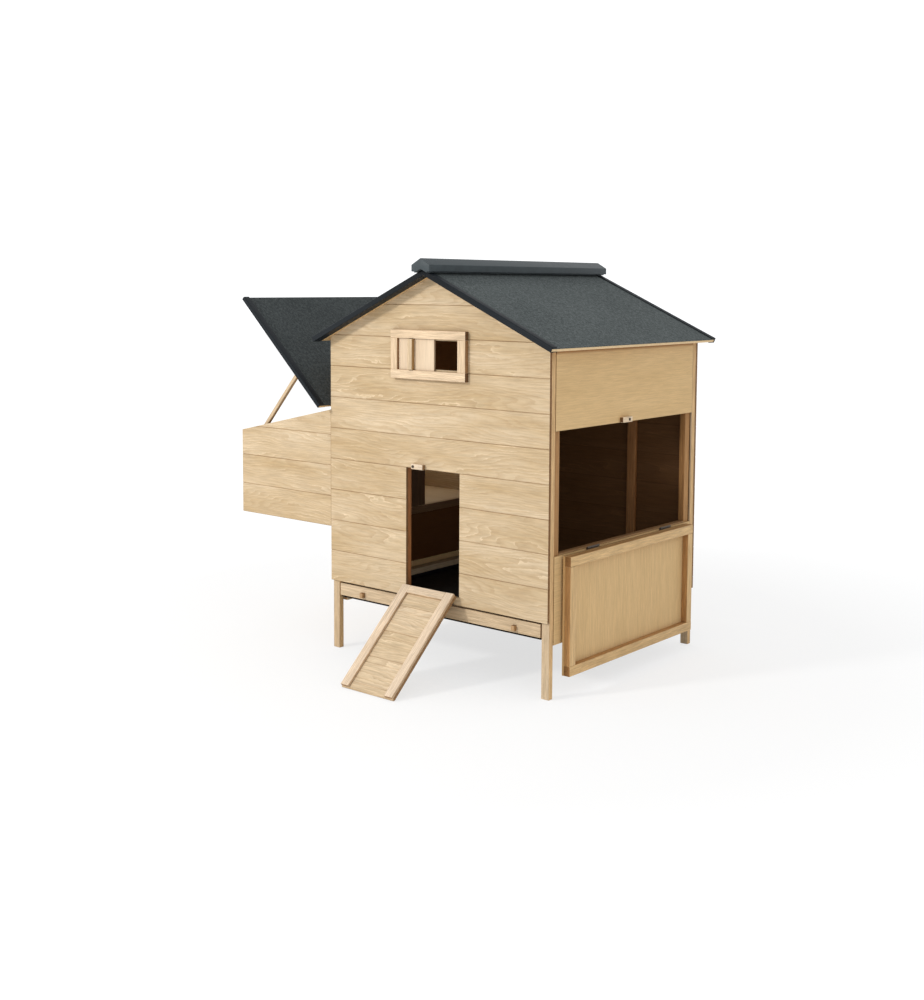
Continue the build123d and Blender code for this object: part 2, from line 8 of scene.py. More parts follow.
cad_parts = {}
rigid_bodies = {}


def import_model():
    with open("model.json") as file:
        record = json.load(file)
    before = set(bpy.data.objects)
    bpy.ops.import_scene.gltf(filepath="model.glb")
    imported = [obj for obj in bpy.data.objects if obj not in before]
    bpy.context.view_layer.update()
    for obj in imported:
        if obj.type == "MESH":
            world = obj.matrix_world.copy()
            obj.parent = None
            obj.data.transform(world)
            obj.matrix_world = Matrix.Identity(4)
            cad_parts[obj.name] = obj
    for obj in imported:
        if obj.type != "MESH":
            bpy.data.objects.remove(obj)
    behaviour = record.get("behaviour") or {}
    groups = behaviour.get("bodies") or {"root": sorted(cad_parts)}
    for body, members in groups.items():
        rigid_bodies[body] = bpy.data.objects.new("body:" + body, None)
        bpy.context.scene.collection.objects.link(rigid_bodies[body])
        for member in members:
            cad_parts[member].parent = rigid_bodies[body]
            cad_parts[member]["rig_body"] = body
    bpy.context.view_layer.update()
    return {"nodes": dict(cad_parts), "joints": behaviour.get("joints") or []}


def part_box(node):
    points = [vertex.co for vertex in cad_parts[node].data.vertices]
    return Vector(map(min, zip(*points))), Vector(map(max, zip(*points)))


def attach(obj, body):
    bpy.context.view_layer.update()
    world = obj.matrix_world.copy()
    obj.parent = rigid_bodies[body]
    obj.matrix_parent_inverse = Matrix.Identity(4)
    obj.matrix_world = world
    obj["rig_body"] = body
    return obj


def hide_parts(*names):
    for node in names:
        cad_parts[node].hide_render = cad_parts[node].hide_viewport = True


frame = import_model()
nodes = frame["nodes"]

# ---- Studio
# The coop stands on a white floor that glows to the camera, painted light that lightens the shadows on it,
# under a large soft light from the front left, with the camera a little below the height of the ridge.
bpy.ops.object.select_all(action="DESELECT")
bpy.ops.mesh.primitive_plane_add(size=40, location=(0, 0, -0.0004))
floor = bpy.context.object
floor.name = "studio_floor"
floor_paint = bpy.data.materials.new("studio_white")
floor_paint.use_nodes = True
paint = floor_paint.node_tree.nodes["Principled BSDF"]
paint.inputs["Roughness"].default_value = 0.95
paint.inputs["Specular IOR Level"].default_value = 0.1
floor_tree = floor_paint.node_tree
# camera rays see a darker floor that glows, more so far from the coop: painted light lifting the floor's shadows
seen = floor_tree.nodes.new("ShaderNodeLightPath")
paper = floor_tree.nodes.new("ShaderNodeMix")
paper.data_type = "RGBA"
paper.inputs["A"].default_value = (0.93, 0.93, 0.935, 1)
paper.inputs["B"].default_value = (0.27, 0.27, 0.27, 1)
floor_tree.links.new(seen.outputs["Is Camera Ray"], paper.inputs["Factor"])
floor_tree.links.new(paper.outputs["Result"], paint.inputs["Base Color"])
spot = floor_tree.nodes.new("ShaderNodeTexCoord")
reach = floor_tree.nodes.new("ShaderNodeVectorMath")
reach.operation = "LENGTH"
floor_tree.links.new(spot.outputs["Object"], reach.inputs[0])
sweep = floor_tree.nodes.new("ShaderNodeMapRange")
sweep.inputs["From Min"].default_value = 1.3
sweep.inputs["From Max"].default_value = 2.6
sweep.inputs["To Min"].default_value = 0.69
sweep.inputs["To Max"].default_value = 0.80
floor_tree.links.new(reach.outputs["Value"], sweep.inputs["Value"])
lift = floor_tree.nodes.new("ShaderNodeMath")
lift.operation = "MULTIPLY"
floor_tree.links.new(sweep.outputs[0], lift.inputs[1])
floor_tree.links.new(seen.outputs["Is Camera Ray"], lift.inputs[0])
paint.inputs["Emission Color"].default_value = (1, 1, 1, 1)
floor_tree.links.new(lift.outputs[0], paint.inputs["Emission Strength"])
floor.data.materials.append(floor_paint)

air = bpy.data.worlds.new("studio_air")
air.use_nodes = True
glow = air.node_tree.nodes["Background"]
glow.inputs["Color"].default_value = (0.98, 0.99, 1.0, 1)
looked_at = air.node_tree.nodes.new("ShaderNodeLightPath")
glow_strength = air.node_tree.nodes.new("ShaderNodeMapRange")
glow_strength.inputs["To Min"].default_value = 0.92
glow_strength.inputs["To Max"].default_value = 1.2
air.node_tree.links.new(looked_at.outputs["Is Camera Ray"], glow_strength.inputs["Value"])
air.node_tree.links.new(glow_strength.outputs[0], glow.inputs["Strength"])
bpy.context.scene.world = air
bpy.context.scene.view_settings.view_transform = "Standard"
bpy.context.scene.view_settings.look = "None"


def softbox(name, at, look_at, size, power, tint=(1, 1, 1)):
    lamp = bpy.data.lights.new(name, "AREA")
    lamp.shape = "DISK"
    lamp.size = size
    lamp.energy = power
    lamp.color = tint
    stand = bpy.data.objects.new(name, lamp)
    bpy.context.scene.collection.objects.link(stand)
    stand.location = at
    aim = Vector(look_at) - Vector(at)
    stand.rotation_euler = aim.to_track_quat("-Z", "Y").to_euler()


softbox("key_softbox", (-1.9, -5.0, 3.3), (0, 0, 0.6), 0.8, 175, (1.0, 0.985, 0.96))

# the house's front left corner, from the middle of the whole coop
CORNER_X, CORNER_Y = 0.225895, 0.277164
eye = Vector((2.8746 - CORNER_X, -2.8102 - CORNER_Y, 1.1283))
yaw, tilt, roll = math.radians(39.462), math.radians(5.0), math.radians(0.33)
ahead = Vector((-math.sin(yaw) * math.cos(tilt), math.cos(yaw) * math.cos(tilt), -math.sin(tilt)))
lens = bpy.data.cameras.new("studio_camera")
lens.sensor_fit = "VERTICAL"
lens.sensor_height = 36
lens.lens = 47.16
lens.shift_x = -0.0104
lens.shift_y = -0.1015
lens.clip_end = 60
camera = bpy.data.objects.new("studio_camera", lens)
bpy.context.scene.collection.objects.link(camera)
turned = ahead.to_track_quat("-Z", "Y") @ Matrix.Rotation(roll, 3, "Z").to_quaternion()
camera.location = eye
camera.rotation_euler = turned.to_euler()
bpy.context.scene.camera = camera


# ---- Front and back walls
# Planed pine boards, tongued and grooved, nailed to the corner posts from the foot up. The
# wood is unfinished: honey-coloured, with long streaks, and arched grain where a board was
# sawn near the middle of the log.
def add_input(group, name, kind, value):
    socket = group.interface.new_socket(name=name, in_out="INPUT", socket_type=kind)
    socket.default_value = value
    if kind == "NodeSocketFloat":
        socket.min_value = -1000
        socket.max_value = 1000


def pine_grain():
    """Rings and fibres of sawn softwood, along local X, flat on local X and Y, Z into the board."""
    group = bpy.data.node_groups.new("pine_grain", "ShaderNodeTree")
    add_input(group, "Place", "NodeSocketVector", (0, 0, 0))
    add_input(group, "Board", "NodeSocketFloat", 0.0)
    add_input(group, "Arch", "NodeSocketFloat", 1.0)
    add_input(group, "Ring Width", "NodeSocketFloat", 1.0)
    group.interface.new_socket(name="Rings", in_out="OUTPUT", socket_type="NodeSocketFloat")
    group.interface.new_socket(name="Fibres", in_out="OUTPUT", socket_type="NodeSocketFloat")
    group.interface.new_socket(name="Tone", in_out="OUTPUT", socket_type="NodeSocketFloat")
    group.interface.new_socket(name="Pale Lines", in_out="OUTPUT", socket_type="NodeSocketFloat")
    new, link = group.nodes.new, group.links.new
    given, out = new("NodeGroupInput"), new("NodeGroupOutput")

    # each board is sawn from another part of the log
    lot = new("ShaderNodeTexWhiteNoise")
    lot.noise_dimensions = "1D"
    link(given.outputs["Board"], lot.inputs["W"])
    shift = new("ShaderNodeVectorMath")
    shift.operation = "SCALE"
    shift.inputs["Scale"].default_value = 9.0
    link(lot.outputs["Color"], shift.inputs[0])
    moved = new("ShaderNodeVectorMath")
    link(given.outputs["Place"], moved.inputs[0])
    link(shift.outputs[0], moved.inputs[1])

    # slow wander of the growth rings along the board
    drawn = new("ShaderNodeVectorMath")
    drawn.operation = "MULTIPLY"
    drawn.inputs[1].default_value = (1.5, 9.0, 3.0)
    link(moved.outputs[0], drawn.inputs[0])
    wander = new("ShaderNodeTexNoise")
    wander.inputs["Scale"].default_value = 1.0
    wander.inputs["Detail"].default_value = 2.0
    link(drawn.outputs[0], wander.inputs["Vector"])
    ring_height = new("ShaderNodeMath")
    ring_height.operation = "MULTIPLY"
    ring_height.inputs[1].default_value = 18.0
    link(wander.outputs["Fac"], ring_height.inputs[0])
    arched = new("ShaderNodeMath")
    arched.operation = "MULTIPLY"
    link(ring_height.outputs[0], arched.inputs[0])
    link(given.outputs["Arch"], arched.inputs[1])

    # straight grain across the board, added to the wander
    axis = new("ShaderNodeSeparateXYZ")
    link(moved.outputs[0], axis.inputs[0])
    across = new("ShaderNodeMath")
    across.operation = "MULTIPLY"
    across.inputs[1].default_value = 95.0
    link(axis.outputs["Y"], across.inputs[0])
    through = new("ShaderNodeMath")
    through.operation = "MULTIPLY_ADD"
    through.inputs[1].default_value = 60.0
    link(axis.outputs["Z"], through.inputs[0])
    link(across.outputs[0], through.inputs[2])
    ragged_place = new("ShaderNodeVectorMath")
    ragged_place.operation = "MULTIPLY"
    ragged_place.inputs[1].default_value = (42.0, 95.0, 60.0)
    link(moved.outputs[0], ragged_place.inputs[0])
    ragged = new("ShaderNodeTexNoise")
    ragged.inputs["Scale"].default_value = 1.0
    ragged.inputs["Detail"].default_value = 2.0
    link(ragged_place.outputs[0], ragged.inputs["Vector"])
    jagged = new("ShaderNodeMath")
    jagged.operation = "MULTIPLY_ADD"
    jagged.inputs[1].default_value = 0.9
    link(ragged.outputs["Fac"], jagged.inputs[0])
    link(arched.outputs[0], jagged.inputs[2])
    summed = new("ShaderNodeMath")
    link(through.outputs[0], summed.inputs[0])
    link(jagged.outputs[0], summed.inputs[1])
    per_ring = new("ShaderNodeMath")
    per_ring.operation = "DIVIDE"
    link(summed.outputs[0], per_ring.inputs[0])
    link(given.outputs["Ring Width"], per_ring.inputs[1])
    saw = new("ShaderNodeMath")
    saw.operation = "FRACT"
    link(per_ring.outputs[0], saw.inputs[0])
    late = new("ShaderNodeMapRange")
    late.interpolation_type = "SMOOTHSTEP"
    late.inputs["From Min"].default_value = 0.25
    late.inputs["From Max"].default_value = 0.95
    link(saw.outputs[0], late.inputs["Value"])
    early = new("ShaderNodeMapRange")
    early.interpolation_type = "SMOOTHSTEP"
    early.inputs["From Min"].default_value = 1.0
    early.inputs["From Max"].default_value = 0.93
    link(saw.outputs[0], early.inputs["Value"])
    ring = new("ShaderNodeMath")
    ring.operation = "MULTIPLY"
    link(late.outputs[0], ring.inputs[0])
    link(early.outputs[0], ring.inputs[1])
    link(ring.outputs[0], out.inputs["Rings"])

    # thin pale lines beside the rings, only here and there
    pulse = new("ShaderNodeMapRange")
    pulse.interpolation_type = "SMOOTHSTEP"
    pulse.inputs["From Min"].default_value = 0.24
    pulse.inputs["From Max"].default_value = 0.0
    link(saw.outputs[0], pulse.inputs["Value"])
    patchy_place = new("ShaderNodeVectorMath")
    patchy_place.operation = "MULTIPLY"
    patchy_place.inputs[1].default_value = (5.0, 26.0, 8.0)
    link(moved.outputs[0], patchy_place.inputs[0])
    patchy = new("ShaderNodeTexNoise")
    patchy.inputs["Scale"].default_value = 1.0
    patchy.inputs["Detail"].default_value = 2.0
    link(patchy_place.outputs[0], patchy.inputs["Vector"])
    where_pale = new("ShaderNodeMapRange")
    where_pale.interpolation_type = "SMOOTHSTEP"
    where_pale.inputs["From Min"].default_value = 0.48
    where_pale.inputs["From Max"].default_value = 0.68
    link(patchy.outputs["Fac"], where_pale.inputs["Value"])
    pale_lines = new("ShaderNodeMath")
    pale_lines.operation = "MULTIPLY"
    link(pulse.outputs[0], pale_lines.inputs[0])
    link(where_pale.outputs[0], pale_lines.inputs[1])
    link(pale_lines.outputs[0], out.inputs["Pale Lines"])

    # fibres: short streaks a few millimetres wide, and finer ones between them
    stretched = new("ShaderNodeVectorMath")
    stretched.operation = "MULTIPLY"
    stretched.inputs[1].default_value = (15.0, 175.0, 175.0)
    link(moved.outputs[0], stretched.inputs[0])
    fibres = new("ShaderNodeTexNoise")
    fibres.inputs["Scale"].default_value = 1.0
    fibres.inputs["Detail"].default_value = 5.0
    fibres.inputs["Roughness"].default_value = 0.62
    link(stretched.outputs[0], fibres.inputs["Vector"])
    link(fibres.outputs["Fac"], out.inputs["Fibres"])

    # broad bands of darker and lighter wood
    banded = new("ShaderNodeVectorMath")
    banded.operation = "MULTIPLY"
    banded.inputs[1].default_value = (3.0, 17.0, 8.0)
    link(moved.outputs[0], banded.inputs[0])
    bands = new("ShaderNodeTexNoise")
    bands.inputs["Scale"].default_value = 1.0
    bands.inputs["Detail"].default_value = 4.0
    bands.inputs["Roughness"].default_value = 0.55
    link(banded.outputs[0], bands.inputs["Vector"])
    link(bands.outputs["Fac"], out.inputs["Tone"])
    return group


def painted_indoor_mask():
    """How far a point is inside the house, for painted indoor shade and light: 0 outside, 1 in the room where little
    light comes.
    """
    group = bpy.data.node_groups.new("painted_indoor_mask", "ShaderNodeTree")
    for name in ("Left", "Right", "Front", "Back", "Floor"):
        add_input(group, name, "NodeSocketFloat", 0.0)
    group.interface.new_socket(name="Inside", in_out="OUTPUT", socket_type="NodeSocketFloat")
    new, link = group.nodes.new, group.links.new
    given, out = new("NodeGroupInput"), new("NodeGroupOutput")
    where = new("ShaderNodeTexCoord")
    axis = new("ShaderNodeSeparateXYZ")
    link(where.outputs["Object"], axis.inputs[0])
    inside = None
    for name, side, lower in (("Left", "X", True), ("Right", "X", False), ("Front", "Y", True),
                              ("Back", "Y", False), ("Floor", "Z", True)):
        test = new("ShaderNodeMath")
        test.operation = "GREATER_THAN" if lower else "LESS_THAN"
        link(axis.outputs[side], test.inputs[0])
        link(given.outputs[name], test.inputs[1])
        if inside is None:
            inside = test.outputs[0]
        else:
            both = new("ShaderNodeMath")
            both.operation = "MULTIPLY"
            link(inside, both.inputs[0])
            link(test.outputs[0], both.inputs[1])
            inside = both.outputs[0]
    link(inside, out.inputs["Inside"])
    return group


grain_group = pine_grain()
painted_indoor_group = painted_indoor_mask()
front_low, front_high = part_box("front_boards")
back_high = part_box("back_boards")[1]

# the room starts this far in from the faces of the plywood sides and of the boarded walls; inside it, colours get
# painted indoor shade
PANEL_IN, BOARD_IN = 0.005, 0.0085
room = (front_low.x + PANEL_IN, front_high.x - PANEL_IN, front_low.y + BOARD_IN, back_high.y - BOARD_IN,
        front_low.z)

# which way the grain runs, then across the board's face, then into the board
GRAIN_ORDER = {"XZ": {"X": "XZY", "Z": "ZXY"}, "YZ": {"Y": "YZX", "Z": "ZYX"}, "XY": {"X": "XYZ", "Y": "YXZ"}}


def pine(name, pale, warm, dark, along="X", face="XZ", board=0.0, origin=0.0, arch=1.0, ring=1.0,
         rings=0.5, fibre=0.35, band=0.5, lines=0.5, ends=(0.5, 0.37, 0.26),
         sides=(0.86, 0.78, 0.68), indoors=None, walls=None, rough=0.62, turn=None, seed=0.0):
    """Unfinished softwood. Grain runs along one axis; boards of the given width each differ."""
    material = bpy.data.materials.new(name)
    material.use_nodes = True
    tree = material.node_tree
    new, link = tree.nodes.new, tree.links.new
    shader = tree.nodes["Principled BSDF"]
    shader.inputs["Specular IOR Level"].default_value = 0.2
    where = new("ShaderNodeTexCoord")
    place = where.outputs["Object"]
    if turn is not None:
        turned_place = new("ShaderNodeMapping")
        turned_place.inputs["Rotation"].default_value = turn
        link(place, turned_place.inputs["Vector"])
        place = turned_place.outputs[0]
    split = new("ShaderNodeSeparateXYZ")
    link(place, split.inputs[0])
    order = GRAIN_ORDER[face][along]
    joined = new("ShaderNodeCombineXYZ")
    for target, source in zip("XYZ", order):
        link(split.outputs[source], joined.inputs[target])
    grain = new("ShaderNodeGroup")
    grain.node_tree = grain_group
    link(joined.outputs[0], grain.inputs["Place"])
    grain.inputs["Arch"].default_value = arch
    grain.inputs["Ring Width"].default_value = ring
    number = new("ShaderNodeMath")
    number.inputs[1].default_value = seed
    if board:
        lift = new("ShaderNodeMath")
        lift.operation = "SUBTRACT"
        lift.inputs[1].default_value = origin
        link(split.outputs[order[1]], lift.inputs[0])
        count = new("ShaderNodeMath")
        count.operation = "DIVIDE"
        count.inputs[1].default_value = board
        link(lift.outputs[0], count.inputs[0])
        whole = new("ShaderNodeMath")
        whole.operation = "FLOOR"
        link(count.outputs[0], whole.inputs[0])
        link(whole.outputs[0], number.inputs[0])
    else:
        number.inputs[0].default_value = 0.0
    link(number.outputs[0], grain.inputs["Board"])

    tone = new("ShaderNodeMapRange")
    tone.inputs["From Min"].default_value = 0.3
    tone.inputs["From Max"].default_value = 0.7
    link(grain.outputs["Tone"], tone.inputs["Value"])
    body = new("ShaderNodeMix")
    body.data_type = "RGBA"
    body.inputs["A"].default_value = (*pale, 1)
    body.inputs["B"].default_value = (*warm, 1)
    band_mix = new("ShaderNodeMath")
    band_mix.operation = "MULTIPLY"
    band_mix.inputs[1].default_value = band
    link(tone.outputs[0], band_mix.inputs[0])
    each = new("ShaderNodeTexWhiteNoise")
    each.noise_dimensions = "1D"
    shifted = new("ShaderNodeMath")
    shifted.inputs[1].default_value = 17.3
    link(number.outputs[0], shifted.inputs[0])
    link(shifted.outputs[0], each.inputs["W"])
    each_mix = new("ShaderNodeMath")
    each_mix.operation = "MULTIPLY_ADD"
    each_mix.inputs[1].default_value = 0.28
    link(each.outputs["Value"], each_mix.inputs[0])
    link(band_mix.outputs[0], each_mix.inputs[2])
    link(each_mix.outputs[0], body.inputs["Factor"])
    ringed = new("ShaderNodeMix")
    ringed.data_type = "RGBA"
    ringed.inputs["B"].default_value = (*dark, 1)
    ring_mix = new("ShaderNodeMath")
    ring_mix.operation = "MULTIPLY"
    ring_mix.inputs[1].default_value = rings
    link(grain.outputs["Rings"], ring_mix.inputs[0])
    link(ring_mix.outputs[0], ringed.inputs["Factor"])
    link(body.outputs["Result"], ringed.inputs["A"])
    threads = new("ShaderNodeMapRange")
    threads.inputs["From Min"].default_value = 0.3
    threads.inputs["From Max"].default_value = 0.7
    threads.inputs["To Min"].default_value = 1.0 + 0.4 * fibre
    threads.inputs["To Max"].default_value = 1.0 - 0.4 * fibre
    link(grain.outputs["Fibres"], threads.inputs["Value"])
    lined = new("ShaderNodeMix")
    lined.data_type = "RGBA"
    lined.inputs["B"].default_value = (*[min(1.0, c * 1.28) for c in pale], 1)
    line_mix = new("ShaderNodeMath")
    line_mix.operation = "MULTIPLY"
    line_mix.inputs[1].default_value = lines
    link(grain.outputs["Pale Lines"], line_mix.inputs[0])
    link(line_mix.outputs[0], lined.inputs["Factor"])
    link(ringed.outputs["Result"], lined.inputs["A"])
    threaded = new("ShaderNodeVectorMath")
    threaded.operation = "SCALE"
    link(lined.outputs["Result"], threaded.inputs[0])
    link(threads.outputs[0], threaded.inputs["Scale"])
    colour = threaded.outputs[0]

    # end faces and side faces get tints of their own: darker end grain and board joints, and where a material asks
    # for it, painted shade on faces turned from the light and painted light on others
    facing = new("ShaderNodeSeparateXYZ")
    normal = where.outputs["Normal"]
    if turn is not None:
        turned_normal = new("ShaderNodeMapping")
        turned_normal.vector_type = "NORMAL"
        turned_normal.inputs["Rotation"].default_value = turn
        link(normal, turned_normal.inputs["Vector"])
        normal = turned_normal.outputs[0]
    link(normal, facing.inputs[0])
    end_on = new("ShaderNodeMath")
    end_on.operation = "ABSOLUTE"
    link(facing.outputs[along], end_on.inputs[0])
    end_mask = new("ShaderNodeMapRange")
    end_mask.inputs["From Min"].default_value = 0.7
    end_mask.inputs["From Max"].default_value = 0.9
    link(end_on.outputs[0], end_mask.inputs["Value"])
    end_grain_and_shade = new("ShaderNodeMix")
    end_grain_and_shade.data_type = "RGBA"
    end_grain_and_shade.blend_type = "MULTIPLY"
    end_grain_and_shade.inputs["B"].default_value = (*ends, 1)
    link(end_mask.outputs[0], end_grain_and_shade.inputs["Factor"])
    link(colour, end_grain_and_shade.inputs["A"])
    edge_on = new("ShaderNodeMath")
    edge_on.operation = "ABSOLUTE"
    link(facing.outputs[order[1]], edge_on.inputs[0])
    edge_mask = new("ShaderNodeMapRange")
    edge_mask.inputs["From Min"].default_value = 0.7
    edge_mask.inputs["From Max"].default_value = 0.9
    link(edge_on.outputs[0], edge_mask.inputs["Value"])
    side_tone_and_light = new("ShaderNodeMix")
    side_tone_and_light.data_type = "RGBA"
    side_tone_and_light.blend_type = "MULTIPLY"
    side_tone_and_light.inputs["B"].default_value = (*sides, 1)
    link(edge_mask.outputs[0], side_tone_and_light.inputs["Factor"])
    link(end_grain_and_shade.outputs["Result"], side_tone_and_light.inputs["A"])
    colour = side_tone_and_light.outputs["Result"]
    if board:
        part_way = new("ShaderNodeMath")
        part_way.operation = "FRACT"
        link(count.outputs[0], part_way.inputs[0])
        wrapped = new("ShaderNodeMath")
        wrapped.operation = "PINGPONG"
        wrapped.inputs[1].default_value = 0.5
        link(part_way.outputs[0], wrapped.inputs[0])
        seam = new("ShaderNodeMapRange")
        seam.inputs["From Min"].default_value = 0.0017 / board
        seam.inputs["From Max"].default_value = 0.0004 / board
        link(wrapped.outputs[0], seam.inputs["Value"])
        seam_strength = new("ShaderNodeMath")
        seam_strength.operation = "MULTIPLY"
        link(seam.outputs[0], seam_strength.inputs[0])
        link(grain.outputs["Tone"], seam_strength.inputs[1])
        seamed = new("ShaderNodeMix")
        seamed.data_type = "RGBA"
        seamed.blend_type = "MULTIPLY"
        seamed.inputs["B"].default_value = (0.45, 0.3, 0.18, 1)
        link(seam_strength.outputs[0], seamed.inputs["Factor"])
        link(colour, seamed.inputs["A"])
        colour = seamed.outputs["Result"]
    # inside the room the colour is multiplied by a tint: painted shade where it darkens, painted light where it
    # brightens
    if indoors:
        shut = new("ShaderNodeGroup")
        shut.node_tree = painted_indoor_group
        for socket, value in zip(("Left", "Right", "Front", "Back", "Floor"), walls or room):
            shut.inputs[socket].default_value = value
        dim = new("ShaderNodeMix")
        dim.data_type = "RGBA"
        dim.inputs["A"].default_value = (1, 1, 1, 1)
        dim.inputs["B"].default_value = (*indoors, 1)
        link(shut.outputs[0], dim.inputs["Factor"])
        dimmed = new("ShaderNodeVectorMath")
        dimmed.operation = "MULTIPLY"
        link(colour, dimmed.inputs[0])
        link(dim.outputs["Result"], dimmed.inputs[1])
        colour = dimmed.outputs[0]
    link(colour, shader.inputs["Base Color"])
    matt = new("ShaderNodeMapRange")
    matt.inputs["To Min"].default_value = rough + 0.1
    matt.inputs["To Max"].default_value = rough - 0.08
    link(grain.outputs["Rings"], matt.inputs["Value"])
    link(matt.outputs[0], shader.inputs["Roughness"])
    relief = new("ShaderNodeMath")
    relief.operation = "MULTIPLY_ADD"
    relief.inputs[1].default_value = 0.5
    link(grain.outputs["Rings"], relief.inputs[0])
    link(grain.outputs["Fibres"], relief.inputs[2])
    bump = new("ShaderNodeBump")
    bump.inputs["Strength"].default_value = 0.25
    bump.inputs["Distance"].default_value = 0.0006
    link(relief.outputs[0], bump.inputs["Height"])
    link(bump.outputs[0], shader.inputs["Normal"])
    return material


def dress(node, material):
    mesh = nodes[node].data
    mesh.materials.clear()
    mesh.materials.append(material)


PALE = (0.59, 0.47, 0.32)
HONEY = (0.455, 0.33, 0.185)
RING = (0.36, 0.225, 0.105)
PAINTED_INDOOR_SHADE = (0.075, 0.045, 0.028)
COVER = 0.095            # what one board covers
WALL_JOINT = 0.213 - 0.38   # height that the walls' joints are counted from
BOARD_GRAIN = dict(board=COVER, arch=1.3, rings=0.3, fibre=0.33, band=0.85, lines=0.52)
WALL_GRAIN = dict(along="X", face="XZ", origin=WALL_JOINT, ends=(0.4, 0.27, 0.17), **BOARD_GRAIN)
# inside the room the boards are darkened: painted shade
dress("front_boards", pine("wall_board_pine", PALE, HONEY, RING, indoors=PAINTED_INDOOR_SHADE, **WALL_GRAIN))
dress("back_boards", pine("back_board_pine", PALE, HONEY, RING, seed=2.0, indoors=(0.24, 0.14, 0.075), **WALL_GRAIN))


# ---- Corner posts and the battens of the house
# Small planed battens of the same pine, straight-grained. The four corner ones run down to
# the ground as legs; the others stiffen the openings and the back wall.
def straight_pine(name, along, face, seed=0.0, pale=(0.60, 0.475, 0.325), warm=(0.485, 0.355, 0.215), **more):
    options = dict(arch=0.3, ring=0.5, rings=0.38, fibre=0.55, band=0.8, seed=seed)
    options.update(more)
    return pine(name, pale, warm, (0.40, 0.26, 0.14), along=along, face=face, **options)


def eased(node, material, width=0.0009, steps=2, angle=25):
    """A copy of a CAD node with its sharp arrises rounded over, in its place and on its body."""
    mesh = nodes[node].data.copy()
    piece = bpy.data.objects.new(node + "_eased", mesh)
    bpy.context.scene.collection.objects.link(piece)
    bpy.ops.object.select_all(action="DESELECT")
    piece.select_set(True)
    bpy.context.view_layer.objects.active = piece
    mesh.materials.clear()
    mesh.materials.append(material)
    bpy.ops.object.mode_set(mode="EDIT")
    bpy.ops.mesh.select_all(action="SELECT")
    bpy.ops.mesh.remove_doubles(threshold=0.00002)
    bpy.ops.mesh.dissolve_limited(angle_limit=math.radians(2))
    bpy.ops.mesh.normals_make_consistent(inside=False)
    bpy.ops.object.mode_set(mode="OBJECT")
    ease = piece.modifiers.new("rounded_edges", "BEVEL")
    ease.width = width
    ease.segments = steps
    ease.limit_method = "ANGLE"
    ease.angle_limit = math.radians(angle)
    ease.use_clamp_overlap = True
    bpy.ops.object.modifier_apply(modifier=ease.name)
    bpy.ops.object.shade_smooth_by_angle(angle=math.radians(35))
    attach(piece, nodes[node]["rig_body"])
    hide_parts(node)


# the posts' side faces are lightened, painted light, and inside the room they are darkened, painted shade
post_wood = straight_pine("post_pine", "Z", "XZ", 3.0, sides=(1.18, 1.03, 0.80), indoors=PAINTED_INDOOR_SHADE)
for post in ("post_front_left", "post_front_right", "post_back_left", "post_back_right"):
    eased(post, post_wood, 0.0015)
# inside the room the jambs, back battens, sill, doorway jambs, runners, perch and brackets are darkened: painted
# shade
JAMB_PAINTED_SHADE = (0.62, 0.46, 0.32)
upright_wood = straight_pine("upright_batten_pine", "Z", "YZ", 5.0, (0.68, 0.50, 0.29), (0.56, 0.39, 0.21),
                             indoors=JAMB_PAINTED_SHADE)
eased("side_jambs", upright_wood)
eased("back_battens", straight_pine("back_batten_pine", "Z", "XZ", 7.0, indoors=(0.66, 0.40, 0.23)))
dark_upright_wood = straight_pine("inner_batten_pine", "Z", "YZ", 9.0, indoors=(0.22, 0.15, 0.115))
eased("left_jambs", dark_upright_wood)
eased("left_mid_post", dark_upright_wood)
# the ledge is lightened inside the room, painted light, and its sides are darkened, painted shade
ledge_wood = straight_pine("ledge_pine", "Y", "XY", 11.0, indoors=(1.1, 1.05, 1.0), sides=(0.3, 0.22, 0.17))
eased("nest_ledge", ledge_wood)
eased("side_sill", straight_pine("sill_pine", "Y", "YZ", 13.0, indoors=(0.55, 0.42, 0.3)))
# the doorway jambs' sides are darkened: painted shade
doorway_wood = straight_pine("doorway_batten_pine", "Z", "XZ", 15.0, indoors=(0.7, 0.5, 0.36),
                             sides=(0.95, 0.7, 0.52))
eased("pop_jambs", doorway_wood)
runner_wood = straight_pine("runner_pine", "Y", "YZ", 17.0, indoors=(0.22, 0.14, 0.08))
eased("tray_runners", runner_wood)
eased("perch", straight_pine("perch_pine", "Y", "XY", 19.0, indoors=(0.3, 0.2, 0.13)))
eased("perch_brackets", straight_pine("bracket_pine", "Z", "XZ", 21.0, indoors=(0.2, 0.13, 0.08)))


# ---- Side panels
# Thin plywood, a little more golden than the boards: fine level grain on the side walls, and a
# dark line of glue at its edges. The side door's panel has its grain upright.
def ply(name, along, face, seed, rings=0.2, **more):
    options = dict(arch=0.1, ring=0.6, rings=rings, fibre=0.22, band=0.6, lines=0.2, seed=seed, rough=0.58)
    options.update(more)
    return pine(name, (0.665, 0.46, 0.228), (0.585, 0.39, 0.18), (0.44, 0.27, 0.11),
                along=along, face=face, **options)


# inside the room the plywood is darkened: painted shade
side_ply = ply("side_plywood", "Y", "YZ", 23.0, indoors=PAINTED_INDOOR_SHADE)
dress("side_panel_upper", side_ply)
dress("side_panel_lower", side_ply)
dress("left_panel_upper", ply("left_upper_plywood", "Y", "YZ", 24.0, indoors=(0.36, 0.19, 0.10)))
dress("left_panel_lower", ply("left_lower_plywood", "Y", "YZ", 26.0, indoors=(0.18, 0.095, 0.045)))


